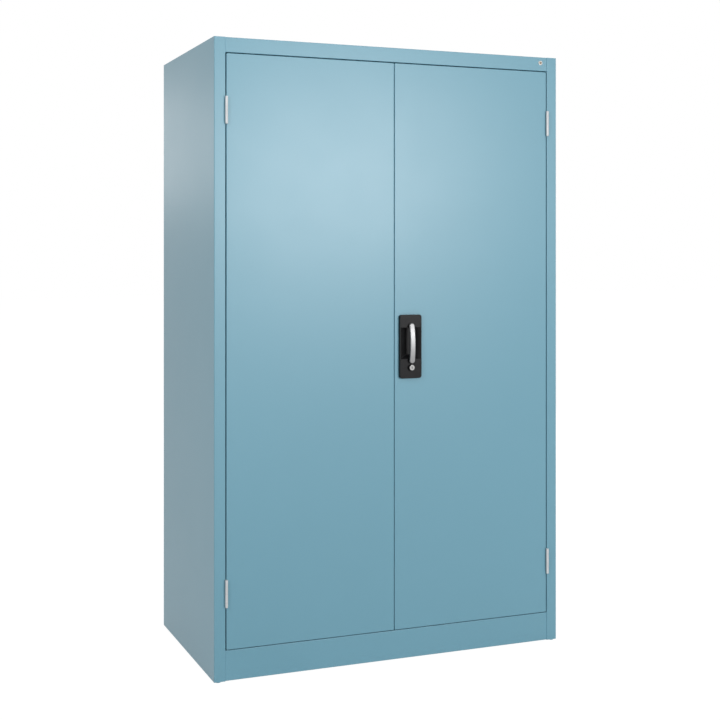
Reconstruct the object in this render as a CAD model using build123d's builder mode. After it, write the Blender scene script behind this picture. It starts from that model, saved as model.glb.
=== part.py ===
"""Two-door steel tool cabinet: a folded sheet carcass on four glides, four shelves on slotted
uprights, two hinged doors, and a turning lever that draws two latch rods inside the right door.

Millimetres, +Z up. The origin is on the floor, under the middle of the whole cabinet with its
lever. The doors face -Y and +X is to the right of a person who stands in front of them.
"""

import os
from math import cos, floor, radians, sin

from build123d import *

# Carcass
body_height = 1950
width = 1200
depth = 600
sheet = 1.0
bend_radius = 1.0
weld_seam = 0.3

# Front frame
stile_width = 36
stile_return = 26
stile_lip = 12
cross_setback = 2
cross_seam = 0.1
rail_height = 46
plinth_top = 95
plinth_bottom = 3
plinth_ledge = 45
plinth_return = 20
end_flange = 16
stop_setback = 27
stop_drop = 12

# Rear and base of the carcass
rear_flange = 15
base_flange = 28
floor_top = 110
bead_count = 3
bead_spacing = 300
bead_width = 40
bead_depth = 5
bead_end_distance = 120
bead_taper = 45
wall_hole_radius = 4.5
wall_hole_spacing = 900
wall_hole_drop = 70

# Glides
glide_radius = 9
glide_edge = 1.0
glide_side_distance = 15
glide_end_distance = 11
glide_stem_radius = 3
glide_stem_height = 8
glide_stem_clearance = 0.1

# Shelf uprights, clips and shelves
upright_width = 30
upright_depth = 15
upright_top_distance = 70
front_upright_setback = 100
rear_upright_distance = 70
slot_width = 4
slot_height = 14
slot_pitch = 25
slot_first = 30
clip_sheet = 1.5
clip_width = 22
clip_ledge = 16
clip_drop = 10
clip_rise = 10
clip_tab_width = 3.4
clip_tab_height = 6
clip_hook = 4
shelf_count = 4
slots_below_first_shelf = 12
slots_between_shelves = 14
shelf_fold = 25
shelf_lip = 10
shelf_setback = 60
shelf_rear_gap = 4
shelf_side_gap = 1.0
shelf_corner_radius = 2

# Doors
door_depth = 25
door_lip = 15
door_corner_radius = 3
door_edge_radius = 1.5
hinge_gap = 3
middle_gap = 2
top_gap = 3
bottom_gap = 2.5
stiffener_width = 36
stiffener_height = 18
stiffener_flange = 14
stiffener_end_distance = 80
right_stiffener_shift = 40
buffer_radius = 4
buffer_clearance = 0.3
buffer_side_distance = 90

# Hinges
hinge_length = 82
hinge_end_distance = 171.7
knuckle_radius = 4.5
knuckle_proud = 5.5
knuckle_split = 0.5
knuckle_edge = 0.8
knuckle_cap = 3
leaf_sheet = 1.2
leaf_depth = 20
leaf_clear_of_knuckle = 1.0
pin_radius = 3
pin_head_radius = 4.2
pin_head_height = 1.5
running_clearance = 0.05
press_clearance = 0.01

# Handle shell
handle_from_middle = 53.3
shell_width = 76.2
shell_height = 203
shell_middle = 1000
shell_proud = 10.5
shell_corner_radius = 8
shell_edge_radius = 1.2
shell_wall = 2
scoop_width = 71
scoop_height = 100.5
scoop_below_shell_top = 40.5
scoop_depth = 21
scoop_floor_width = 12
scoop_crease_radius = 2
scoop_ramp = 13
cutout_clearance = 0.5
skin_under_shell = 4
screw_boss_radius = 5
bearing_wall = 3

# Lever and its spindle
lever_length = 128
lever_width = 17.6
lever_above_shell_middle = 11
lever_thickness = 8
lever_rise_at_pivot = 8.4
lever_rise_at_tip = 6.2
lever_reach = 28
lever_edge_radius = 3
lever_inner_edge_radius = 1.5
pivot_from_end = 7
boss_radius = 5.5
boss_engagement = 4
spindle_size = 6
spindle_in_lever = 3.5
spindle_hole_radius = 9

# Latch gear
cam_radius = 19
cam_thickness = 3
cam_gap = 0.8
crank_radius = 14
crank_pin_radius = 2
crank_start = 45
slot_side_clearance = 0.2
slot_rise_clearance = 0.7
tongue_width = 14
tongue_short = 0.3
tongue_slot_above = 9
tongue_slot_below = 14
tongue_slot_clearance = 0.7
rod_width = 16
rod_thickness = 3
rod_gap = 0.5
rod_from_spindle = 13.5
rod_end = 7
rod_short = 1.0
rod_slot_clearance = 0.5
guide_sheet = 1.5
guide_width = 30
guide_foot = 20
guide_rise = 2
upper_guide_heights = (1350, 1750)
lower_guide_heights = (350, 750)

# Cover over the latch gear
cover_width = 78
cover_above_spindle = 28
cover_below_spindle = 24
cover_sheet = 1.2
cover_gap = 0.9
cover_ear = 12
tongue_room_above = 10
tongue_room_right = 9

# Lock cylinder
cylinder_below_scoop = 27.5
cylinder_radius = 7.5
cylinder_flange_radius = 8.7
cylinder_flange = 1.4
collar_radius = 10
collar_proud = 8
collar_edge_radius = 1
cylinder_tail = 12
plug_radius = 5
plug_proud = 0.2
keyway_width = 1.8
keyway_height = 6
keyway_depth = 8
nut_radius = 12
nut_thickness = 4
lock_cam_length = 20
lock_cam_width = 10
lock_cam_thickness = 2
cam_screw_radius = 4
cam_screw_height = 2
cam_screw_shank = 1.8
cam_screw_length = 3

# Small screws and studs
screw_radius = 2
screw_head_radius = 4
screw_head_height = 2.5
screw_hole_clearance = 0.3
screw_into_shell = 3.5
shell_screw_side = 30
shell_screw_end_distance = 14.5
stud_length = 6
stud_nut_radius = 3.6
stud_nut_height = 3.2
stud_end_distance = 8

# Round cap on the top rail
cap_radius = 7.5
cap_proud = 1.2
cap_well_radius = 4
cap_well_depth = 0.6
cap_from_side = 60
cap_from_top = 18.7

# Places worked out from the sizes above
height = plinth_bottom + body_height
half_width = width / 2
front = (lever_reach - depth) / 2
back = front + depth
cross_front = front + cross_setback
side_inner = half_width - sheet
half_opening = half_width - stile_width
rail_bottom = height - rail_height
door_top = rail_bottom - top_gap
door_bottom = plinth_top + bottom_gap
door_height = door_top - door_bottom
door_outer_edge = half_opening - hinge_gap
door_inner_edge = middle_gap / 2
door_width = door_outer_edge - door_inner_edge
door_middle_x = (door_outer_edge + door_inner_edge) / 2
door_middle_z = (door_top + door_bottom) / 2
hinge_x = half_opening - hinge_gap / 2
hinge_y = front - knuckle_proud
hinge_heights = (door_top - hinge_end_distance, door_bottom + hinge_end_distance)
handle_x = handle_from_middle
scoop_top = shell_middle + shell_height / 2 - scoop_below_shell_top
scoop_bottom = scoop_top - scoop_height
lever_middle = shell_middle + lever_above_shell_middle
pivot_z = lever_middle + lever_length / 2 - pivot_from_end
cylinder_z = scoop_bottom - cylinder_below_scoop
lock_seat = shell_proud + collar_proud
scoop_back = scoop_depth + shell_wall - shell_proud
scoop_cut_width = shell_width - 2 * skin_under_shell
cam_front = scoop_back + cam_gap
rod_front = cam_front + cam_thickness + rod_gap
cover_inner = rod_front + rod_thickness + cover_gap
rod_travel = 2 * crank_radius * sin(radians(crank_start))

os.makedirs("parts", exist_ok=True)


def save(piece, name):
    piece.label = name
    export_step(piece, f"parts/{name}.step")


def facing(inset):
    """Upright plane this far behind the front of the carcass, drawn as seen from the front."""
    return Plane.XZ.offset(-(front + inset))


def bent_sheet(plane, points, length, thickness=sheet):
    """A sheet bent along these points, its material to the right of them, and as long as this."""
    with BuildSketch(plane) as section:
        with BuildLine() as path:
            FilletPolyline(*points, radius=bend_radius + thickness)
            offset(path.line, amount=thickness, side=Side.RIGHT)
        make_face()
    extrude(section.sketch, amount=length)


def pan(face_plane, across, along, deep, lip, corner_radius, edge_radius):
    """A flat face folded back on its four sides and in again at the rear, as one sheet."""
    with BuildPart() as folded:
        with BuildSketch(face_plane):
            RectangleRounded(across, along, corner_radius)
        extrude(amount=-deep)
        fillet(folded.faces().sort_by(Axis((0, 0, 0), face_plane.z_dir))[-1].edges(), edge_radius)
        with BuildSketch(face_plane.offset(-sheet)):
            RectangleRounded(across - 2 * sheet, along - 2 * sheet, corner_radius - sheet)
        extrude(amount=-(deep - 2 * sheet), mode=Mode.SUBTRACT)
        with BuildSketch(face_plane.offset(-deep)):
            Rectangle(across - 2 * lip, along - 2 * lip)
        extrude(amount=sheet, mode=Mode.SUBTRACT)
    return folded.part


# Side sheets: wall, front stile with its return and lip, rear flange and base flange.
with BuildPart() as left_side:
    bent_sheet(
        Plane.XY.offset(plinth_bottom),
        [
            (-half_opening - stile_lip, front + stile_return),
            (-half_opening, front + stile_return),
            (-half_opening, front),
            (-half_width, front),
            (-half_width, back),
            (-half_width + rear_flange, back),
        ],
        height - plinth_bottom,
    )
    with BuildSketch(Plane.XY.offset(height)):
        with Locations((-side_inner, front + sheet)):
            Rectangle(stile_width, depth - 2 * sheet, align=Align.MIN)
    extrude(amount=-(sheet + weld_seam), mode=Mode.SUBTRACT)
    with BuildSketch(Plane.XY.offset(plinth_bottom)):
        with Locations((-side_inner - sheet / 2, front + sheet / 2)):
            Rectangle(base_flange, depth - sheet, align=Align.MIN)
    extrude(amount=sheet)
    with BuildSketch(Plane.XY.offset(plinth_bottom)):
        with Locations(
            (-half_width + glide_side_distance, front + glide_end_distance),
            (-half_width + glide_side_distance, back - glide_end_distance),
        ):
            Circle(glide_stem_radius + glide_stem_clearance)
    extrude(amount=sheet, mode=Mode.SUBTRACT)
save(left_side.part, "left_side")

with BuildPart() as right_side:
    mirror(left_side.part, about=Plane.YZ)
save(right_side.part, "right_side")

# Roof: one sheet with the top rail, set back a little from the stiles, the door stop behind it and
# the rear flange folded down.
rail_half = half_opening - cross_seam
with BuildPart() as roof:
    bent_sheet(
        Plane.YZ.offset(-rail_half),
        [
            (front + stop_setback, rail_bottom - stop_drop),
            (front + stop_setback, rail_bottom),
            (cross_front, rail_bottom),
            (cross_front, height),
            (back, height),
            (back, height - rear_flange),
        ],
        2 * rail_half,
    )
    with BuildSketch(Plane.XY.offset(height)):
        for side in (-1, 1):
            with Locations((side * (rail_half + side_inner - weld_seam) / 2, (front + back) / 2)):
                Rectangle(side_inner - weld_seam - rail_half, depth - 2 * (sheet + weld_seam))
    extrude(amount=-sheet)
    with BuildSketch(facing(depth)):
        for side in (-1, 1):
            with Locations(
                (side * (rail_half + half_width - rear_flange - weld_seam) / 2, height - rear_flange / 2)
            ):
                Rectangle(half_width - rear_flange - weld_seam - rail_half, rear_flange)
    extrude(amount=sheet)
    with BuildSketch(Plane.XY.offset(rail_bottom)):
        with Locations((handle_x - rod_from_spindle, front + rod_front + rod_thickness / 2)):
            Rectangle(rod_width + 2 * rod_slot_clearance, rod_thickness + 2 * rod_slot_clearance)
    extrude(amount=sheet, mode=Mode.SUBTRACT)
save(roof.part, "roof")

# Back panel: lies inside the rear flanges, pressed in along upright beads, two wall holes.
back_inner = back - 2 * sheet
back_half = side_inner - bend_radius - weld_seam
back_fold_half = half_width - base_flange - weld_seam
back_bottom = plinth_bottom + sheet + weld_seam
bead_height = height - plinth_bottom - 2 * bead_end_distance
with BuildPart() as back_panel:
    bent_sheet(
        Plane.YZ.offset(-back_half),
        [
            (back - sheet, height - sheet - bend_radius - weld_seam),
            (back - sheet, back_bottom),
            (back - sheet - plinth_return, back_bottom),
        ],
        2 * back_half,
    )
    with BuildSketch(Plane.XY.offset(back_bottom)):
        for side in (-1, 1):
            with Locations((side * (back_fold_half + back_half) / 2, back_inner - plinth_return / 2)):
                Rectangle(back_half - back_fold_half, plinth_return)
    extrude(amount=sheet + bend_radius, mode=Mode.SUBTRACT)
    with BuildSketch(Plane.XZ.offset(-back_inner)):
        with Locations((0, (height + plinth_bottom) / 2)):
            with GridLocations(bead_spacing, 1, bead_count, 1):
                Rectangle(bead_width, bead_height)
    extrude(amount=bead_depth, taper=bead_taper)
    with BuildSketch(Plane.XZ.offset(-(back - sheet))):
        with Locations((0, (height + plinth_bottom) / 2)):
            with GridLocations(bead_spacing, 1, bead_count, 1):
                Rectangle(bead_width - sheet, bead_height - sheet)
    extrude(amount=bead_depth, taper=bead_taper, mode=Mode.SUBTRACT)
    with BuildSketch(Plane.XZ.offset(-(back - sheet))):
        with Locations((0, height - wall_hole_drop)):
            with GridLocations(wall_hole_spacing, 1, 2, 1):
                Circle(wall_hole_radius)
    extrude(amount=sheet, mode=Mode.SUBTRACT)
save(back_panel.part, "back_panel")

# Plinth: front board under the doors, in line with the rail, folded back along its top, bottom and
# both ends.
plinth_half = half_opening - cross_seam
with BuildPart() as plinth:
    bent_sheet(
        Plane.YZ.offset(-plinth_half),
        [
            (front + plinth_return, plinth_bottom),
            (cross_front, plinth_bottom),
            (cross_front, plinth_top),
            (front + plinth_ledge, plinth_top),
        ],
        2 * plinth_half,
    )
    with BuildSketch(Plane.XY.offset(plinth_top)):
        with Locations((handle_x + rod_from_spindle, front + rod_front + rod_thickness / 2)):
            Rectangle(rod_width + 2 * rod_slot_clearance, rod_thickness + 2 * rod_slot_clearance)
    extrude(amount=-sheet, mode=Mode.SUBTRACT)
    with BuildSketch(Plane.XY.offset(plinth_bottom)):
        for side in (-1, 1):
            with Locations((side * (plinth_half - sheet / 2), cross_front + (sheet + end_flange) / 2)):
                Rectangle(sheet, end_flange - sheet)
    extrude(amount=plinth_top - plinth_bottom)
save(plinth.part, "plinth")

# Floor: a tray turned upside down, its front fold standing on the plinth as the lower door stop.
floor_width = 2 * (side_inner - weld_seam)
floor_depth = back_inner - weld_seam - front - stop_setback
with BuildPart() as floor_panel:
    with BuildSketch(Plane.XY.offset(plinth_top)):
        with Locations((0, front + stop_setback + floor_depth / 2)):
            Rectangle(floor_width, floor_depth)
    extrude(amount=floor_top - plinth_top)
    fillet(floor_panel.faces().sort_by(Axis.Z)[-1].edges(), bend_radius)
    with BuildSketch(Plane.XY.offset(plinth_top)):
        with Locations((0, front + stop_setback + floor_depth / 2)):
            Rectangle(floor_width - 2 * sheet, floor_depth - 2 * sheet)
    extrude(amount=floor_top - plinth_top - sheet, mode=Mode.SUBTRACT)
save(floor_panel.part, "floor_panel")


# Glides: pressed steel discs whose stems are pushed up through the base flanges.
def make_glide(x, y):
    with BuildPart() as glide:
        with BuildSketch(Plane.XY):
            with Locations((x, y)):
                Circle(glide_radius)
        extrude(amount=plinth_bottom)
        fillet(glide.edges().group_by(Axis.Z)[0], glide_edge)
        with BuildSketch(Plane.XY.offset(plinth_bottom)):
            with Locations((x, y)):
                Circle(glide_stem_radius)
        extrude(amount=glide_stem_height)
    return glide.part


for side, side_name in ((-1, "left"), (1, "right")):
    glide_x = side * (half_width - glide_side_distance)
    save(make_glide(glide_x, front + glide_end_distance), f"front_{side_name}_glide")
    save(make_glide(glide_x, back - glide_end_distance), f"rear_{side_name}_glide")

# Uprights: channels on the side walls, slotted at one pitch for the shelf clips.
upright_top = height - upright_top_distance
upright_face = side_inner - upright_depth
upright_ys = (front + front_upright_setback, back - rear_upright_distance)
first_slot_z = floor_top + slot_first
slot_count = 1 + floor((upright_top - first_slot_z - slot_height) / slot_pitch)


def make_left_upright(y):
    low, high = y - upright_width / 2, y + upright_width / 2
    with BuildPart() as upright:
        bent_sheet(
            Plane.XY.offset(floor_top),
            [(-side_inner, high), (-upright_face, high), (-upright_face, low), (-side_inner, low)],
            upright_top - floor_top,
        )
        with BuildSketch(Plane.YZ.offset(-upright_face)):
            with Locations((y, first_slot_z + (slot_count - 1) * slot_pitch / 2)):
                with GridLocations(1, slot_pitch, 1, slot_count):
                    Rectangle(slot_width, slot_height)
        extrude(amount=-sheet, mode=Mode.SUBTRACT)
    return upright.part


for upright_y, place in zip(upright_ys, ("front", "rear")):
    left_upright = make_left_upright(upright_y)
    save(left_upright, f"{place}_left_upright")
    with BuildPart() as right_upright:
        mirror(left_upright, about=Plane.YZ)
    save(right_upright.part, f"{place}_right_upright")

# Shelf clips: a plate on the upright with a hook through a slot and a ledge under the shelf.
shelf_slots = [
    first_slot_z + (slots_below_first_shelf + n * slots_between_shelves) * slot_pitch
    for n in range(shelf_count)
]
clip_spots = [(y, z) for y in upright_ys for z in shelf_slots]
with BuildPart() as left_clips:
    for clip_y, clip_z in clip_spots:
        bent_sheet(
            Plane.XZ.offset(-(clip_y + clip_width / 2)),
            [
                (-upright_face + clip_ledge, clip_z - clip_drop - clip_sheet),
                (-upright_face, clip_z - clip_drop - clip_sheet),
                (-upright_face, clip_z + clip_rise),
            ],
            clip_width,
            clip_sheet,
        )
        with BuildSketch(Plane.XZ.offset(-(clip_y + clip_tab_width / 2))):
            with BuildLine():
                Polyline(
                    (-upright_face, clip_z - slot_height / 2),
                    (-upright_face - sheet, clip_z - slot_height / 2),
                    (-upright_face - sheet, clip_z - slot_height / 2 - clip_hook),
                    (-upright_face - sheet - clip_sheet, clip_z - slot_height / 2 - clip_hook),
                    (-upright_face - sheet - clip_sheet, clip_z - slot_height / 2 + clip_tab_height),
                    (-upright_face, clip_z - slot_height / 2 + clip_tab_height),
                    close=True,
                )
            make_face()
        extrude(amount=clip_tab_width)
with BuildPart() as shelf_clips:
    add(left_clips.part)
    mirror(left_clips.part, about=Plane.YZ)
save(shelf_clips.part, "shelf_clips")

# Shelves: sheets folded down and in on all sides, lying on the ledges of their four clips.
shelf_width = 2 * (upright_face - clip_sheet - shelf_side_gap)
shelf_front = front + shelf_setback
shelf_depth = back_inner - bead_depth - shelf_rear_gap - shelf_front
for number, slot_z in enumerate(shelf_slots, start=1):
    shelf_plane = Plane((0, shelf_front + shelf_depth / 2, slot_z - clip_drop + shelf_fold))
    shelf = pan(
        shelf_plane, shelf_width, shelf_depth, shelf_fold, shelf_lip, shelf_corner_radius, bend_radius
    )
    save(shelf, f"shelf_{number}")

# Door buffers: rubber discs on the upper and lower door stops.
buffer_heights = (rail_bottom - (stop_drop + top_gap) / 2, (door_bottom + floor_top) / 2)
with BuildPart() as door_buffers:
    with BuildSketch(facing(stop_setback)):
        for side in (-1, 1):
            for x in (door_inner_edge + buffer_side_distance, door_outer_edge - buffer_side_distance):
                with Locations(*[(side * x, z) for z in buffer_heights]):
                    Circle(buffer_radius)
    extrude(amount=stop_setback - door_depth - buffer_clearance)
save(door_buffers.part, "door_buffers")

# Plain round cap on the top rail.
with BuildPart() as rail_cap:
    with BuildSketch(facing(cross_setback)):
        with Locations((half_width - cap_from_side, height - cap_from_top)):
            Circle(cap_radius)
    extrude(amount=cap_proud)
    fillet(rail_cap.edges().group_by(Axis.Y)[0], cap_proud / 2)
    with BuildSketch(facing(cross_setback - cap_proud)):
        with Locations((half_width - cap_from_side, height - cap_from_top)):
            Circle(cap_well_radius)
    extrude(amount=-cap_well_depth, mode=Mode.SUBTRACT)
save(rail_cap.part, "rail_cap")

# Hinges: the frame's leaf and lower knuckle, the door's leaf and upper knuckle, and the pin.
leaf_start = hinge_y + knuckle_radius + leaf_clear_of_knuckle
leaf_end = front + leaf_depth


def make_leaf(leaf_x, axis_x, middle_z, upper, bore_radius):
    """One leaf and its half of the knuckle; the upper half is closed at its top."""
    knuckle_length = (hinge_length - knuckle_split) / 2
    if upper:
        knuckle_low, bore_length = middle_z + knuckle_split / 2, knuckle_length - knuckle_cap
    else:
        knuckle_low, bore_length = middle_z - hinge_length / 2, knuckle_length
    with BuildPart() as leaf:
        with BuildSketch(Plane.XY.offset(knuckle_low)):
            with Locations((axis_x, hinge_y)):
                Circle(knuckle_radius)
        extrude(amount=knuckle_length)
        fillet(leaf.edges().group_by(Axis.Z)[-1 if upper else 0], knuckle_edge)
        with BuildSketch(Plane.XY.offset(knuckle_low)):
            with Locations((leaf_x, (hinge_y + leaf_start) / 2)):
                Rectangle(leaf_sheet, leaf_start - hinge_y)
        extrude(amount=knuckle_length)
        with BuildSketch(Plane.XY.offset(middle_z - hinge_length / 2)):
            with Locations((leaf_x, (leaf_start + leaf_end) / 2)):
                Rectangle(leaf_sheet, leaf_end - leaf_start)
        extrude(amount=hinge_length)
        with BuildSketch(Plane.XY.offset(knuckle_low)):
            with Locations((axis_x, hinge_y)):
                Circle(bore_radius)
        extrude(amount=bore_length, mode=Mode.SUBTRACT)
    return leaf.part


def make_pin(axis_x, middle_z):
    with BuildPart() as pin:
        with BuildSketch(Plane.XY.offset(middle_z - hinge_length / 2)):
            with Locations((axis_x, hinge_y)):
                Circle(pin_radius)
        extrude(amount=hinge_length - knuckle_cap - knuckle_split)
        with BuildSketch(Plane.XY.offset(middle_z - hinge_length / 2)):
            with Locations((axis_x, hinge_y)):
                Circle(pin_head_radius)
        extrude(amount=-pin_head_height)
        chamfer(pin.edges().group_by(Axis.Z)[0], pin_head_height / 2)
    return pin.part


for side, side_name in ((-1, "left"), (1, "right")):
    for hinge_z, level in zip(hinge_heights, ("upper", "lower")):
        frame_leaf_x = side * (half_opening - leaf_sheet / 2)
        door_leaf_x = side * (door_outer_edge + leaf_sheet / 2)
        frame_leaf = make_leaf(
            frame_leaf_x, side * hinge_x, hinge_z, False, pin_radius + press_clearance
        )
        door_leaf = make_leaf(
            door_leaf_x, side * hinge_x, hinge_z, True, pin_radius + running_clearance
        )
        save(frame_leaf, f"{side_name}_{level}_hinge_frame_leaf")
        save(door_leaf, f"{side_name}_{level}_hinge_door_leaf")
        save(make_pin(side * hinge_x, hinge_z), f"{side_name}_{level}_hinge_pin")


# Doors: pans with a slot for the latch tongue in the edges that meet.
def door_plane(side):
    return Plane(
        origin=(side * door_middle_x, front, door_middle_z), x_dir=(1, 0, 0), z_dir=(0, -1, 0)
    )


tongue_slot_height = tongue_slot_above + tongue_slot_below
tongue_slot_z = pivot_z + (tongue_slot_above - tongue_slot_below) / 2
tongue_slot_y = front + cam_front + cam_thickness / 2


def tongue_slot():
    """Cuts the tongue's slot through both edges that meet at the middle gap."""
    with BuildSketch(Plane.YZ.offset(-door_inner_edge - sheet)) as slot:
        with Locations((tongue_slot_y, tongue_slot_z)):
            Rectangle(cam_thickness + 2 * tongue_slot_clearance, tongue_slot_height)
    extrude(slot.sketch, amount=2 * (door_inner_edge + sheet), mode=Mode.SUBTRACT)


left_pan = pan(
    door_plane(-1), door_width, door_height, door_depth, door_lip, door_corner_radius, door_edge_radius
)
with BuildPart() as left_door:
    add(left_pan)
    tongue_slot()
save(left_door.part, "left_door_panel")

right_pan = pan(
    door_plane(1), door_width, door_height, door_depth, door_lip, door_corner_radius, door_edge_radius
)
rod_xs = (handle_x - rod_from_spindle, handle_x + rod_from_spindle)
rod_middle_y = front + rod_front + rod_thickness / 2
shell_screw_spots = [
    (handle_x + side * shell_screw_side, shell_middle + end * (shell_height / 2 - shell_screw_end_distance))
    for side in (-1, 1)
    for end in (-1, 1)
]
with BuildPart() as right_door:
    add(right_pan)
    tongue_slot()
    with BuildSketch(facing(0)):
        with Locations((handle_x, (scoop_top + scoop_bottom) / 2)):
            Rectangle(scoop_cut_width, scoop_height + 2 * (shell_wall + cutout_clearance))
        with Locations((handle_x, pivot_z)):
            Circle(spindle_hole_radius)
        with Locations((handle_x, cylinder_z)):
            Circle(cylinder_radius + cutout_clearance)
        with Locations(*shell_screw_spots):
            Circle(screw_radius + screw_hole_clearance)
    extrude(amount=-sheet, mode=Mode.SUBTRACT)
    for rod_x, end_z, inward in ((rod_xs[0], door_top, -1), (rod_xs[1], door_bottom, 1)):
        with BuildSketch(Plane.XY.offset(end_z)):
            with Locations((rod_x, rod_middle_y)):
                Rectangle(rod_width + 2 * rod_slot_clearance, rod_thickness + 2 * rod_slot_clearance)
        extrude(amount=inward * sheet, mode=Mode.SUBTRACT)
save(right_door.part, "right_door_panel")


# Door stiffeners: upright hat sections welded to the inside of each skin.
def make_stiffener(x):
    half_hat = stiffener_width / 2
    near, far = front + sheet, front + stiffener_height
    with BuildPart() as stiffener:
        bent_sheet(
            Plane.XY.offset(door_bottom + stiffener_end_distance),
            [
                (x + half_hat + stiffener_flange, near),
                (x + half_hat, near),
                (x + half_hat, far),
                (x - half_hat, far),
                (x - half_hat, near),
                (x - half_hat - stiffener_flange, near),
            ],
            door_height - 2 * stiffener_end_distance,
        )
    return stiffener.part


save(make_stiffener(-door_middle_x), "left_door_stiffener")
save(make_stiffener(door_middle_x + right_stiffener_shift), "right_door_stiffener")


# Handle shell: moulded box lid with a V-shaped finger scoop, bosses inside and the lock's collar.
def make_scoop(grow):
    """The scoop's hollow, grown outwards by this much."""
    half_mouth = scoop_width / 2 + grow
    half_floor = scoop_floor_width / 2 + grow
    mouth = front - shell_proud
    deep = mouth + scoop_depth + grow
    low, high = scoop_bottom - grow, scoop_top + grow
    with BuildPart() as scoop:
        with BuildSketch(Plane.XY.offset(low)):
            with BuildLine():
                trough = FilletPolyline(
                    (handle_x - half_mouth, mouth),
                    (handle_x - half_floor, deep),
                    (handle_x + half_floor, deep),
                    (handle_x + half_mouth, mouth),
                    radius=scoop_crease_radius + grow,
                )
                Line(trough @ 1, trough @ 0)
            make_face()
        extrude(amount=high - low)
        with BuildSketch(Plane.YZ.offset(handle_x)):
            with BuildLine():
                Polyline((mouth, low), (deep, low + scoop_ramp), (deep, high), (mouth, high), close=True)
            make_face()
        extrude(amount=half_mouth, both=True, mode=Mode.INTERSECT)
    return scoop.part


scoop_tray = make_scoop(shell_wall)
scoop_space = make_scoop(0)
with BuildPart() as handle_shell:
    with BuildSketch(facing(0)):
        with Locations((handle_x, shell_middle)):
            RectangleRounded(shell_width, shell_height, shell_corner_radius)
    extrude(amount=shell_proud)
    fillet(handle_shell.faces().sort_by(Axis.Y)[0].edges(), shell_edge_radius)
    with BuildSketch(facing(0)):
        with Locations((handle_x, shell_middle)):
            RectangleRounded(
                shell_width - 2 * shell_wall, shell_height - 2 * shell_wall, shell_corner_radius - shell_wall
            )
    extrude(amount=shell_proud - shell_wall, mode=Mode.SUBTRACT)
    with BuildSketch(facing(0)):
        with Locations(*shell_screw_spots):
            Circle(screw_boss_radius)
        with Locations((handle_x, pivot_z)):
            Circle(boss_radius + bearing_wall)
    extrude(amount=shell_proud - shell_wall)
    with BuildSketch(facing(0)):
        with Locations((handle_x, cylinder_z)):
            Circle(collar_radius)
    extrude(amount=lock_seat)
    fillet(handle_shell.faces().sort_by(Axis.Y)[0].edges(), collar_edge_radius)
    add(scoop_tray)
    add(scoop_space, mode=Mode.SUBTRACT)
    with BuildSketch(facing(0)):
        with Locations((handle_x, pivot_z)):
            Circle(boss_radius + running_clearance)
    extrude(amount=shell_proud, mode=Mode.SUBTRACT)
    with BuildSketch(facing(0)):
        with Locations((handle_x, cylinder_z)):
            Circle(cylinder_radius + running_clearance)
    extrude(amount=lock_seat, mode=Mode.SUBTRACT)
    with BuildSketch(facing(0)):
        with Locations(*shell_screw_spots):
            Circle(screw_radius + press_clearance)
    extrude(amount=screw_into_shell, mode=Mode.SUBTRACT)
save(handle_shell.part, "handle_shell")

# Screws that hold the shell, driven from inside the door.
with BuildPart() as shell_screws:
    with BuildSketch(facing(sheet)):
        with Locations(*shell_screw_spots):
            Circle(screw_radius)
    extrude(amount=sheet + screw_into_shell - screw_hole_clearance)
    with BuildSketch(facing(sheet)):
        with Locations(*shell_screw_spots):
            Circle(screw_head_radius)
    extrude(amount=-screw_head_height)
save(shell_screws.part, "shell_screws")

# Lever: an arched grip with round ends, hung on a round boss at its upper end.
lever_low = lever_middle - lever_length / 2
lever_high = lever_middle + lever_length / 2
with BuildPart() as lever:
    with BuildSketch(facing(0)):
        with Locations((handle_x, lever_middle)):
            SlotOverall(lever_length, lever_width, rotation=90)
    extrude(amount=lever_reach)
    with BuildSketch(Plane.YZ.offset(handle_x)):
        with BuildLine():
            outer_arc, inner_arc = (
                ThreePointArc(
                    (y + lever_rise_at_tip, lever_low),
                    (y, lever_middle),
                    (y + lever_rise_at_pivot, lever_high),
                )
                for y in (front - lever_reach, front - lever_reach + lever_thickness)
            )
            Line(outer_arc @ 0, inner_arc @ 0)
            Line(outer_arc @ 1, inner_arc @ 1)
        make_face()
    extrude(amount=lever_width, both=True, mode=Mode.INTERSECT)
    fillet(lever.faces().sort_by(Axis.Y)[0].edges(), lever_edge_radius)
    fillet(lever.faces().sort_by(Axis.Y)[-1].edges(), lever_inner_edge_radius)
    with BuildSketch(facing(boss_engagement - shell_proud)):
        with Locations((handle_x, pivot_z)):
            Circle(boss_radius)
    extrude(amount=lever_reach - lever_rise_at_pivot - lever_thickness / 2 - shell_proud + boss_engagement)
    with BuildSketch(facing(boss_engagement - shell_proud)):
        with Locations((handle_x, pivot_z)):
            Rectangle(spindle_size + 2 * press_clearance, spindle_size + 2 * press_clearance)
    extrude(amount=boss_engagement + spindle_in_lever, mode=Mode.SUBTRACT)
save(lever.part, "lever")

# Spindle: square bar from the lever through the cam to its hole in the cover.
with BuildPart() as spindle:
    with BuildSketch(facing(cover_inner + cover_sheet)):
        with Locations((handle_x, pivot_z)):
            Rectangle(spindle_size, spindle_size)
    extrude(amount=cover_inner + cover_sheet + shell_proud + spindle_in_lever)
save(spindle.part, "spindle")

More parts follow.
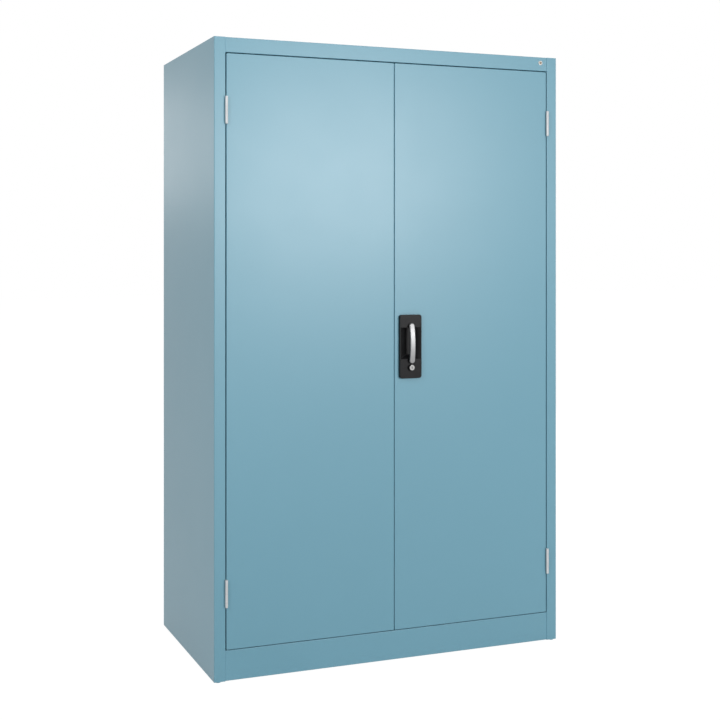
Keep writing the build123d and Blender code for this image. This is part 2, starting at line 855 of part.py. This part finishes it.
# Cam: a disc on the spindle with a crank pin for each rod and the tongue for the other door.
tongue_reach = handle_x - door_inner_edge - tongue_short
crank_offset = crank_radius * cos(radians(crank_start))
crank_pins = (
    (handle_x - crank_offset, pivot_z + rod_travel / 2),
    (handle_x + crank_offset, pivot_z - rod_travel / 2),
)
with BuildPart() as cam:
    with BuildSketch(facing(cam_front)):
        with Locations((handle_x, pivot_z)):
            Circle(cam_radius)
        with Locations((handle_x - tongue_reach / 2, pivot_z)):
            Rectangle(tongue_reach, tongue_width)
        with Locations((handle_x, pivot_z)):
            square = spindle_size + 2 * press_clearance
            Rectangle(square, square, mode=Mode.SUBTRACT)
    extrude(amount=-cam_thickness)
    with BuildSketch(facing(cam_front + cam_thickness)):
        with Locations(*crank_pins):
            Circle(crank_pin_radius)
    extrude(amount=-(rod_gap + rod_thickness))
save(cam.part, "cam")

# Latch rods: flat bars, each with a cross slot that its crank pin works in.
slot_across = crank_radius - crank_offset + 2 * (crank_pin_radius + slot_side_clearance)
slot_along = 2 * (crank_pin_radius + slot_rise_clearance)
slot_from_spindle = (crank_radius + crank_offset) / 2


def make_rod(side, pin_z, tip_z):
    """Flat bar from just past its crank pin to its tip; side is -1 left of the spindle, 1 right."""
    end_z = pin_z + side * rod_end
    rod_x = handle_x + side * rod_from_spindle
    with BuildPart() as rod:
        with BuildSketch(facing(rod_front)):
            with Locations((rod_x, (end_z + tip_z) / 2)):
                Rectangle(rod_width, abs(end_z - tip_z))
            with Locations((handle_x + side * slot_from_spindle, pin_z)):
                Rectangle(slot_across, slot_along, mode=Mode.SUBTRACT)
        extrude(amount=-rod_thickness)
    return rod.part


save(make_rod(-1, crank_pins[0][1], rail_bottom - rod_short), "upper_rod")
save(make_rod(1, crank_pins[1][1], plinth_top + rod_short), "lower_rod")

# Rod guides: angle brackets on the inside of the skin, one slot each.
guide_spots = [(rod_xs[0], z) for z in upper_guide_heights] + [(rod_xs[1], z) for z in lower_guide_heights]
with BuildPart() as rod_guides:
    for guide_x, guide_z in guide_spots:
        with BuildSketch(Plane.XY.offset(guide_z)):
            with Locations((guide_x, front + sheet)):
                Rectangle(
                    guide_width,
                    rod_front + rod_thickness + guide_rise - sheet,
                    align=(Align.CENTER, Align.MIN),
                )
            with Locations((guide_x, rod_middle_y)):
                Rectangle(
                    rod_width + 2 * rod_slot_clearance,
                    rod_thickness + 2 * rod_slot_clearance,
                    mode=Mode.SUBTRACT,
                )
        extrude(amount=guide_sheet)
        with BuildSketch(facing(sheet)):
            with Locations((guide_x, guide_z + guide_foot / 2)):
                Rectangle(guide_width, guide_foot)
        extrude(amount=-guide_sheet)
save(rod_guides.part, "rod_guides")

# Cover: pressed steel lid over the cam with ears on the skin, open where the tongue swings.
cover_low = pivot_z - cover_below_spindle
cover_high = pivot_z + cover_above_spindle
cover_middle = (cover_low + cover_high) / 2
cover_height = cover_high - cover_low
cover_back = cover_inner + cover_sheet
stud_spots = [
    (handle_x + cover_width / 2 + cover_ear / 2, cover_low + stud_end_distance),
    (handle_x + cover_width / 2 + cover_ear / 2, cover_high - stud_end_distance),
    (handle_x - cover_width / 2 - cover_ear / 2, cover_high - stud_end_distance),
]
with BuildPart() as latch_cover:
    with BuildSketch(facing(cover_back)):
        with Locations((handle_x, cover_middle)):
            Rectangle(cover_width, cover_height)
    extrude(amount=cover_back - sheet)
    with BuildSketch(facing(cover_inner)):
        with Locations((handle_x, cover_middle)):
            Rectangle(cover_width - 2 * cover_sheet, cover_height - 2 * cover_sheet)
    extrude(amount=cover_inner - sheet, mode=Mode.SUBTRACT)
    with BuildSketch(facing(sheet + cover_sheet)):
        with Locations((handle_x, cover_middle)):
            Rectangle(cover_width + 2 * cover_ear, cover_height)
        with Locations((handle_x, cover_middle)):
            Rectangle(cover_width - 2 * cover_sheet, cover_height - 2 * cover_sheet, mode=Mode.SUBTRACT)
    extrude(amount=cover_sheet)
    # room for the scoop, for the tongue's swing, and for the rods above and below
    with BuildSketch(facing(sheet)):
        with Locations((handle_x, cover_low)):
            Rectangle(scoop_cut_width, 4 * cover_sheet)
    extrude(amount=-(scoop_back + cutout_clearance - sheet), mode=Mode.SUBTRACT)
    with BuildSketch(facing(cover_inner)):
        with Locations((handle_x + tongue_room_right, pivot_z + tongue_room_above)):
            Rectangle(
                tongue_room_right + cover_width / 2 + cover_ear,
                tongue_room_above + cover_below_spindle,
                align=Align.MAX,
            )
        with Locations((rod_xs[0], cover_high), (rod_xs[1], cover_low)):
            Rectangle(rod_width + 2 * rod_slot_clearance, 4 * cover_sheet)
    extrude(amount=cover_inner - sheet, mode=Mode.SUBTRACT)
    with BuildSketch(facing(cover_back)):
        with Locations((handle_x, pivot_z)):
            Circle(spindle_size)
    extrude(amount=cover_sheet, mode=Mode.SUBTRACT)
    with BuildSketch(facing(sheet + cover_sheet)):
        with Locations(*stud_spots):
            Circle(screw_radius + screw_hole_clearance)
    extrude(amount=cover_sheet, mode=Mode.SUBTRACT)
save(latch_cover.part, "latch_cover")

# Studs on the skin with the nuts that hold the cover.
with BuildPart() as cover_studs:
    with BuildSketch(facing(sheet)):
        with Locations(*stud_spots):
            Circle(screw_radius)
    extrude(amount=-stud_length)
    with BuildSketch(facing(sheet + cover_sheet)):
        with Locations(*stud_spots):
            RegularPolygon(stud_nut_radius, 6)
    extrude(amount=-stud_nut_height)
save(cover_studs.part, "cover_studs")

# Lock cylinder: flanged barrel through the shell, held by a nut behind the skin.
with BuildPart() as lock_cylinder:
    with BuildSketch(facing(cylinder_tail)):
        with Locations((handle_x, cylinder_z)):
            Circle(cylinder_radius)
    extrude(amount=cylinder_tail + lock_seat)
    with BuildSketch(facing(-lock_seat)):
        with Locations((handle_x, cylinder_z)):
            Circle(cylinder_flange_radius)
    extrude(amount=cylinder_flange)
    fillet(lock_cylinder.edges().group_by(Axis.Y)[0], cylinder_flange / 2)
    with BuildSketch(facing(-lock_seat - cylinder_flange)):
        with Locations((handle_x, cylinder_z)):
            Circle(plug_radius + running_clearance)
    extrude(amount=-(cylinder_tail + lock_seat + cylinder_flange), mode=Mode.SUBTRACT)
save(lock_cylinder.part, "lock_cylinder")

with BuildPart() as cylinder_nut:
    with BuildSketch(facing(sheet)):
        with Locations((handle_x, cylinder_z)):
            RegularPolygon(nut_radius, 6)
            Circle(cylinder_radius + press_clearance, mode=Mode.SUBTRACT)
    extrude(amount=-nut_thickness)
save(cylinder_nut.part, "cylinder_nut")

plug_front = lock_seat + cylinder_flange + plug_proud
plug_tail = cylinder_tail + running_clearance
with BuildPart() as lock_plug:
    with BuildSketch(facing(plug_tail)):
        with Locations((handle_x, cylinder_z)):
            Circle(plug_radius)
            Circle(cam_screw_shank + press_clearance, mode=Mode.SUBTRACT)
    extrude(amount=cam_screw_length + running_clearance)
    with BuildSketch(facing(plug_tail - cam_screw_length - running_clearance)):
        with Locations((handle_x, cylinder_z)):
            Circle(plug_radius)
    extrude(amount=plug_tail - cam_screw_length - running_clearance + plug_front)
    with BuildSketch(facing(-plug_front)):
        with Locations((handle_x, cylinder_z)):
            Rectangle(keyway_width, keyway_height)
    extrude(amount=-keyway_depth, mode=Mode.SUBTRACT)
save(lock_plug.part, "lock_plug")

# Lock cam: the short arm that the key turns behind the cylinder, and its screw.
with BuildPart() as lock_cam:
    with BuildSketch(facing(plug_tail)):
        with Locations((handle_x, cylinder_z)):
            Circle(cylinder_radius)
        with Locations((handle_x - lock_cam_length / 2, cylinder_z)):
            Rectangle(lock_cam_length, lock_cam_width)
        with Locations((handle_x, cylinder_z)):
            Circle(cam_screw_shank + press_clearance, mode=Mode.SUBTRACT)
    extrude(amount=-lock_cam_thickness)
save(lock_cam.part, "lock_cam")

with BuildPart() as lock_cam_screw:
    with BuildSketch(facing(plug_tail + lock_cam_thickness)):
        with Locations((handle_x, cylinder_z)):
            Circle(cam_screw_radius)
    extrude(amount=-cam_screw_height)
    with BuildSketch(facing(plug_tail + lock_cam_thickness)):
        with Locations((handle_x, cylinder_z)):
            Circle(cam_screw_shank)
    extrude(amount=lock_cam_thickness + cam_screw_length)
save(lock_cam_screw.part, "lock_cam_screw")
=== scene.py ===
import bmesh
import bpy
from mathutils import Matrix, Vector


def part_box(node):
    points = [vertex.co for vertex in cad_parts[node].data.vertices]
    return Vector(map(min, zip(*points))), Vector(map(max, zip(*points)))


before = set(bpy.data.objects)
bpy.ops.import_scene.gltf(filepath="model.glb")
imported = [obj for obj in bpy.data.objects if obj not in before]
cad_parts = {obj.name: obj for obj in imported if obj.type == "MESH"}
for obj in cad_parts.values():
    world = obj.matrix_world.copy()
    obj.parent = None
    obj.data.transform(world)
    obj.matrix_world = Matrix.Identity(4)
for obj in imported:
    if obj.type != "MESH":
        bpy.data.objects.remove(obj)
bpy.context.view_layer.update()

# Camera: 1.3 m above the floor, in front of the cabinet and to its left, looking level. Its picture
# is shifted and not tilted, so that all upright edges stay upright.
camera = bpy.data.objects.new("camera", bpy.data.cameras.new("camera"))
camera.data.lens = 59.58
camera.data.sensor_width = 36
camera.data.shift_x = 0.1140
camera.data.shift_y = -0.1489
camera.location = (-1.6546, -3.7245, 1.2994)
looks_along = Vector((0.34388, 0.93901, 0))
camera.rotation_euler = looks_along.to_track_quat("-Z", "Y").to_euler()
bpy.context.scene.collection.objects.link(camera)
bpy.context.scene.camera = camera
bpy.context.scene.view_settings.view_transform = "Standard"


# Surroundings: a plain room. It is white to the eye and in reflections, and the light that it
# gives the cabinet, from all sides alike, is a share of that.
class Shade:
    """A shader socket. Sums, products and comparisons of it add Math nodes to its tree."""

    def __init__(self, tree, socket=None):
        self.tree, self.socket = tree, socket

    def node(self, kind, settings=(), sockets=(), out=0):
        """Adds a node of this kind, sets it up, and fills its sockets with values or links."""
        made = self.tree.nodes.new(kind)
        for name, value in dict(settings).items():
            setattr(made, name, value)
        for name, value in dict(sockets).items():
            if isinstance(value, Shade):
                self.tree.links.new(value.socket, made.inputs[name])
            else:
                made.inputs[name].default_value = value
        return Shade(self.tree, made.outputs[out] if len(made.outputs) else None)

    def maths(self, operation, *terms):
        return self.node("ShaderNodeMath", {"operation": operation}, enumerate(terms))

    def __add__(self, other):
        return self.maths("ADD", self, other)

    def __sub__(self, other):
        return self.maths("SUBTRACT", self, other)

    def __rsub__(self, other):
        return self.maths("SUBTRACT", other, self)

    def __mul__(self, other):
        return self.maths("MULTIPLY", self, other)

    def __gt__(self, other):
        return self.maths("GREATER_THAN", self, other)

    def __lt__(self, other):
        return self.maths("LESS_THAN", self, other)

    __radd__ = __add__
    __rmul__ = __mul__


def seen_directly(tree):
    """1 for a ray from the eye, a reflection or a view through glass, and 0 for room light."""
    path = Shade(tree).node("ShaderNodeLightPath")
    outputs = path.socket.node.outputs
    names = ("Is Camera Ray", "Is Glossy Ray", "Is Transmission Ray")
    eye, gloss, glass = [Shade(tree, outputs[name]) for name in names]
    return eye + gloss + glass


room_light = 0.415
world = bpy.data.worlds.new("room")
bpy.context.scene.world = world
world.use_nodes = True
world.node_tree.nodes.clear()
seen = seen_directly(world.node_tree)
sky = seen.node(
    "ShaderNodeBackground",
    sockets={"Color": (1, 1, 1, 1), "Strength": seen * (1 - room_light) + room_light},
)
sky.node("ShaderNodeOutputWorld", sockets={"Surface": sky})

# Floor: a wide pale board under the cabinet, and no part of it. Most of what the eye and reflections
# see of the board is white like the room; the rest is lit, and keeps a faint shadow of the cabinet.
floor_reach = 30
board_colour = (0.7, 0.7, 0.7, 1)
white_strength = 1.12
white_share = 0.86
floor_mesh = bmesh.new()
bmesh.ops.create_grid(floor_mesh, x_segments=1, y_segments=1, size=floor_reach)
floor = bpy.data.objects.new("floor", bpy.data.meshes.new("floor"))
floor_mesh.to_mesh(floor.data)
floor_mesh.free()
bpy.context.scene.collection.objects.link(floor)
pale = bpy.data.materials.new("pale_floor")
pale.use_nodes = True
pale.node_tree.nodes.clear()
seen = seen_directly(pale.node_tree)
lit = seen.node("ShaderNodeBsdfDiffuse", sockets={"Color": board_colour})
white = seen.node(
    "ShaderNodeEmission", sockets={"Color": (1, 1, 1, 1), "Strength": white_strength}
)
board = seen.node("ShaderNodeMixShader", sockets={0: seen * white_share, 1: lit, 2: white})
board.node("ShaderNodeOutputMaterial", sockets={"Surface": board})
floor.data.materials.append(pale)


# Lamps: seven soft boxes. Two light the doors from in front, one from the right and one from low
# down; the others light the top rail, the left side, the left side's sheen from far behind, the
# right side with the back, and the roof.
def soft_box(name, place, aim, size, watts):
    """A lamp at a place, aimed at a point, with its width and height in metres and its power."""
    lamp = bpy.data.objects.new(name, bpy.data.lights.new(name, "AREA"))
    lamp.data.shape = "RECTANGLE"
    lamp.data.size, lamp.data.size_y = size
    lamp.data.energy = watts
    lamp.location = place
    lamp.rotation_euler = (Vector(aim) - Vector(place)).to_track_quat("-Z", "Y").to_euler()
    bpy.context.scene.collection.objects.link(lamp)


soft_box("front_box", (1.95, -5.6, 1.93), (-0.4, -0.286, 0.9), (1.5, 0.3), 150)
soft_box("low_box", (-0.6, -5.6, 0.55), (-0.4, -0.286, 0.9), (1.5, 1.1), 15)
soft_box("top_box", (-0.4, -1.9, 3.4), (-0.1, -0.3, 1.1), (0.9, 0.5), 5)
soft_box("left_box", (-3.7, -2.7, 2.7), (-0.6, -0.2, 1.3), (1.2, 1.2), 54)
soft_box("rear_box", (-1.7, 7.2, 2.29), (-0.6, 0.0, 1.25), (2.0, 1.1), 14.5)
soft_box("right_box", (3.9, 4.2, 2.4), (0.2, 0.1, 1.0), (2.0, 2.0), 130)
soft_box("ceiling_box", (0.3, 1.0, 4.0), (0.0, 0.1, 1.95), (1.5, 1.5), 20)


# Carcass: sides, roof, back, plinth and floor panel, folded from sheet steel and spot welded. All of
# it has one satin powder coat, baked on, with a fine orange peel and a gloss that is a little uneven
# from one hand's width to the next.
def new_finish(name, **sockets):
    """A finish whose even values are set on its shader's own sockets. Gives the finish, the point
    on the piece in metres, and the shader."""
    finish = bpy.data.materials.new(name)
    finish.use_nodes = True
    tree = finish.node_tree
    shader = tree.nodes["Principled BSDF"]
    for socket, value in sockets.items():
        shader.inputs[socket.replace("_", " ")].default_value = value
    point = Shade(tree).node("ShaderNodeTexCoord", out="Object")
    return finish, point, shader


def feed(shader, **amounts):
    """Links worked-out amounts to a shader's sockets."""
    for socket, amount in amounts.items():
        amount.tree.links.new(amount.socket, shader.inputs[socket.replace("_", " ")])


def dress(nodes, finish):
    """Gives CAD nodes this finish."""
    for node in nodes:
        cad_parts[node].material_slots[0].material = finish


def axes(point):
    """The point's x, y and z."""
    parts = point.node("ShaderNodeSeparateXYZ", sockets={0: point}).socket.node.outputs
    return [Shade(point.tree, parts[n]) for n in range(3)]


def grain(point, scale, detail=2.0, roughness=0.5, stretch=(1, 1, 1)):
    """Noise of about 1/scale metres across, drawn out along an axis with a small stretch."""
    drawn = point.node("ShaderNodeMapping", sockets={"Vector": point, "Scale": stretch})
    return point.node(
        "ShaderNodeTexNoise",
        sockets={"Vector": drawn, "Scale": scale, "Detail": detail, "Roughness": roughness},
    )


def between(amount, low, high, lowest=0.0, highest=1.0):
    """Carries an amount from the span low to high into another, without leaving the new one."""
    return amount.node(
        "ShaderNodeMapRange",
        sockets={
            "Value": amount, "From Min": low, "From Max": high, "To Min": lowest, "To Max": highest,
        },
    )


def tint(amount, low, high):
    """A colour between two, by an amount from 0 to 1. Sockets 6 and 7 are the node's colours."""
    return amount.node(
        "ShaderNodeMix",
        {"data_type": "RGBA"},
        {"Factor": amount, 6: (*low, 1), 7: (*high, 1)},
        out=2,
    )


def bump(height, strength, distance):
    """The tilt that a height gives the surface; distance is what a height of 1 stands for."""
    return height.node(
        "ShaderNodeBump", sockets={"Height": height, "Strength": strength, "Distance": distance}
    )


mark_radius = 0.0016
mark_edge_radius = 0.0030


def weld_marks(across, along, line, pitch):
    """1 in the shallow round marks that a spot welder leaves at one pitch along a line."""
    step = across.maths("WRAP", along, pitch / 2, -pitch / 2)
    off = across - line
    return between(off * off + step * step, mark_radius**2, mark_edge_radius**2, 1.0, 0.0)


most_of_grain = (0.3, 0.7)
coat_roughness = 0.365
glossier, duller = 0.006, 0.008
peel_height = 0.12
coat_relief = 0.0004


def powder_coat(name, dark, light, roughness, welds=None):
    """Powder coat between two close colours, with its orange peel and slight clouds of gloss.
    welds works out from x, y and z where the sheet under it has been spot welded."""
    coat, point, shader = new_finish(name, Metallic=0.0, IOR=1.5)
    clouds = grain(point, scale=1.7, detail=3.0)
    gloss = grain(point, scale=6.0, detail=4.0)
    height = grain(point, scale=420, detail=1.5) * peel_height
    if welds:
        height = height - welds(*axes(point))
    feed(
        shader,
        Base_Color=tint(between(clouds, *most_of_grain), dark, light),
        Roughness=between(gloss, *most_of_grain, roughness - glossier, roughness + duller),
        Normal=bump(height, strength=1.0, distance=coat_relief),
    )
    return coat


blue_dark, blue_light = (0.130, 0.298, 0.380), (0.133, 0.303, 0.386)
weld_from_edge = 0.0075
side_weld_pitch = 0.12
roof_weld_pitch = 0.15
back_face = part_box("back_panel")[1].y
side_weld_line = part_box("right_side")[1].x - weld_from_edge
roof_weld_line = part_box("roof")[1].z - weld_from_edge


def rear_welds(x, y, z):
    """Both sides' rear flanges and the roof's are welded to the back panel."""
    behind = y > back_face
    sides = weld_marks(x.maths("ABSOLUTE", x), z, side_weld_line, side_weld_pitch)
    return behind * (sides + weld_marks(z, x, roof_weld_line, roof_weld_pitch))


carcass_coat = powder_coat("carcass_coat", blue_dark, blue_light, coat_roughness, rear_welds)
dress(["left_side", "right_side", "roof", "back_panel", "plinth", "floor_panel"], carcass_coat)

# Uprights and glides: four channels bent from sheet steel and slotted for the shelf clips, and four
# pressed steel feet whose stems are pushed up through the base. They are coated with the carcass.
dress([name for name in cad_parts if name.endswith(("_upright", "_glide"))], carcass_coat)

# Doors: a pan folded from one steel sheet each, with a slot for the latch tongue in the edges that
# meet. They hang on their hinges, and have the carcass's coat without its weld marks.
door_coat = powder_coat("door_coat", blue_dark, blue_light, coat_roughness)
dress(["left_door_panel", "right_door_panel"], door_coat)

# Door stiffeners: upright hat sections of sheet steel inside the doors, spot welded to the skins
# through both of their flanges and coated with the doors.
flange_weld_from_edge = 0.007
flange_weld_pitch = 0.09
for stiffener in ("left_door_stiffener", "right_door_stiffener"):
    low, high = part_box(stiffener)
    middle = (low.x + high.x) / 2
    flange = (high.x - low.x) / 2 - flange_weld_from_edge

    def flange_welds(x, y, z):
        return weld_marks(x.maths("ABSOLUTE", x - middle), z, flange, flange_weld_pitch)

    stiffener_coat = powder_coat(
        f"{stiffener}_coat", blue_dark, blue_light, coat_roughness, flange_welds
    )
    dress([stiffener], stiffener_coat)

# Shelves: steel sheets folded down and in on all four sides, with a light grey powder coat that is
# less glossy than the blue. Each lies loose on the ledges of its four clips.
grey_dark, grey_light = (0.50, 0.52, 0.52), (0.53, 0.55, 0.55)
shelf_coat = powder_coat("shelf_coat", grey_dark, grey_light, roughness=0.5)
dress([f"shelf_{n}" for n in range(1, 5)], shelf_coat)

# Shelf clips: bent from thin steel, with a hook that goes through a slot of the upright and a ledge
# under the shelf. They are zinc plated, which leaves a clouded, slightly bluish skin.
plate_relief = 0.0002
plate_unevenness = 0.06
all_of_grain = (0.2, 0.8)


def plated(name, dark, light, roughness, metallic=1.0):
    """Plated steel or brass, clouded in colour and rolled or drawn lengthwise."""
    plate, point, shader = new_finish(name, Metallic=metallic)
    clouds = grain(point, scale=45, detail=4.0, roughness=0.6)
    rolled = grain(point, scale=900, stretch=(1, 1, 0.05))
    smoothest, roughest = roughness - plate_unevenness, roughness + plate_unevenness
    feed(
        shader,
        Base_Color=tint(between(clouds, *most_of_grain), dark, light),
        Roughness=between(rolled, *all_of_grain, smoothest, roughest),
        Normal=bump(rolled, strength=0.1, distance=plate_relief),
    )
    return plate


zinc_dark, zinc_light = (0.26, 0.265, 0.275), (0.33, 0.335, 0.345)
zinc = plated("zinc", zinc_dark, zinc_light, roughness=0.50, metallic=0.5)
dress(["shelf_clips"], zinc)

# Latch gear: the spindle and the cam that the lever turns, the two flat rods that the cam's crank
# pins draw in, and the angle brackets on the door's skin that guide them. All are zinc plated steel.
dress(["spindle", "cam", "upper_rod", "lower_rod", "rod_guides"], zinc)

# Latch cover: a pressed steel lid over the cam, held by nuts on three studs of the door's skin. Lid,
# studs and nuts are zinc plated like the gear under it.
dress(["latch_cover", "cover_studs"], zinc)

# Hinges: two leaves with half a knuckle each, bent from steel strip, and the pin that they turn on,
# at the top and the bottom of each door. They are plated in brighter zinc than the latch gear.
bright_dark, bright_light = (0.50, 0.51, 0.515), (0.56, 0.57, 0.575)
hinge_zinc = plated("hinge_zinc", bright_dark, bright_light, roughness=0.55, metallic=0.3)
dress([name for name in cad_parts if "_hinge_" in name], hinge_zinc)

# Handle shell: a shallow box on the door that carries lever and lock, with a scoop for the fingers.
# It is moulded in dark grey plastic with a fine spark-eroded grain, and screwed on from inside.
shell_dark, shell_light = (0.006, 0.006, 0.007), (0.009, 0.009, 0.010)
shell_plastic, point, shader = new_finish("shell_plastic", IOR=1.26)
swirl = grain(point, scale=60, detail=3.0)
grit = grain(point, scale=1500)
feed(
    shader,
    Base_Color=tint(between(swirl, *most_of_grain), shell_dark, shell_light),
    Roughness=between(grit, *most_of_grain, lowest=0.28, highest=0.32),
    Normal=bump(grit, strength=0.1, distance=0.0002),
)
dress(["handle_shell"], shell_plastic)

# Shell screws: four short steel screws, driven through the door's skin into the shell's bosses. They
# are zinc plated like the latch gear.
dress(["shell_screws"], zinc)

# Lever: an arched grip, die-cast in zinc alloy under a silver lacquer whose flakes glitter a little.
# It hangs on a round boss at its upper end and turns the spindle.
lacquer_dark, lacquer_light = (0.255, 0.257, 0.26), (0.28, 0.28, 0.283)
lever_metal, point, shader = new_finish("lever_metal", Metallic=0.9)
swirl = grain(point, scale=30, detail=3.0)
flake = grain(point, scale=2500, detail=1.0)
feed(
    shader,
    Base_Color=tint(between(swirl, *most_of_grain), lacquer_dark, lacquer_light),
    Roughness=between(flake, *all_of_grain, lowest=0.42, highest=0.48),
    Normal=bump(flake, strength=0.08, distance=0.0001),
)
dress(["lever"], lever_metal)

# Lock barrel: turned from brass with a flange in front, and plated in satin nickel. It goes through
# the shell from the front and is held by a nut behind the skin.
nickel_dark, nickel_light = (0.25, 0.25, 0.247), (0.29, 0.29, 0.287)
nickel = plated("nickel", nickel_dark, nickel_light, roughness=0.30)
dress(["lock_cylinder"], nickel)

# Lock nut and cam: the nut that holds the barrel, the short arm that the key turns behind it, and
# that arm's screw. All are zinc plated steel.
dress(["cylinder_nut", "lock_cam", "lock_cam_screw"], zinc)

# Lock plug: turned from brass and nickel plated, with an upright keyway broached into its face. The
# finish is bright on the face alone; the keyway's walls and floor get painted shade, a dark colour
# for the shade inside the slot.
# The dark colour is painted shade for the inside of the keyway, not a colour of the plug.
keyway_painted_shade, face_bright = (0.03, 0.028, 0.025), (0.22, 0.22, 0.217)
face_thickness = 0.0005
plug_finish, point, shader = new_finish("plug_finish", Metallic=1.0)
face_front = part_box("lock_plug")[0].y
x, y, z = axes(point)
# 1 on the plug's face, 0 deeper in the keyway, where the painted shade goes.
face = y < face_front + face_thickness
turned = grain(point, scale=700)
feed(
    shader,
    Base_Color=tint(face, keyway_painted_shade, face_bright),
    Roughness=between(turned, *most_of_grain, lowest=0.28, highest=0.36),
)
dress(["lock_plug"], plug_finish)

# Cap on the top rail: a small plated disc set on the rail near its right end. It is plain, a bright
# ring round a dark sunk middle.
well_dark, ring_bright = (0.16, 0.13, 0.10), (0.40, 0.40, 0.39)
ring_inner_radius = 0.0046
cap_metal, point, shader = new_finish("cap_metal", Metallic=0.8)
low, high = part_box("rail_cap")
middle = (low + high) / 2
x, y, z = axes(point)
off_x, off_z = x - middle.x, z - middle.z
ring = (off_x * off_x + off_z * off_z) > ring_inner_radius**2
worn = grain(point, scale=800)
feed(
    shader,
    Base_Color=tint(ring, well_dark, ring_bright),
    Roughness=between(worn, *most_of_grain, lowest=0.30, highest=0.42),
)
dress(["rail_cap"], cap_metal)

# Door buffers: eight black rubber discs, a little dusty, stuck on the upper and lower door stops.
# The doors close against them.
rubber_clean, rubber_dusty = (0.018, 0.018, 0.018), (0.035, 0.035, 0.034)
rubber, point, shader = new_finish("rubber", IOR=1.5)
dust = grain(point, scale=300, detail=3.0)
feed(
    shader,
    Base_Color=tint(between(dust, *most_of_grain), rubber_clean, rubber_dusty),
    Roughness=between(dust, *most_of_grain, lowest=0.7, highest=0.85),
    Normal=bump(dust, strength=0.2, distance=0.0002),
)
dress(["door_buffers"], rubber)
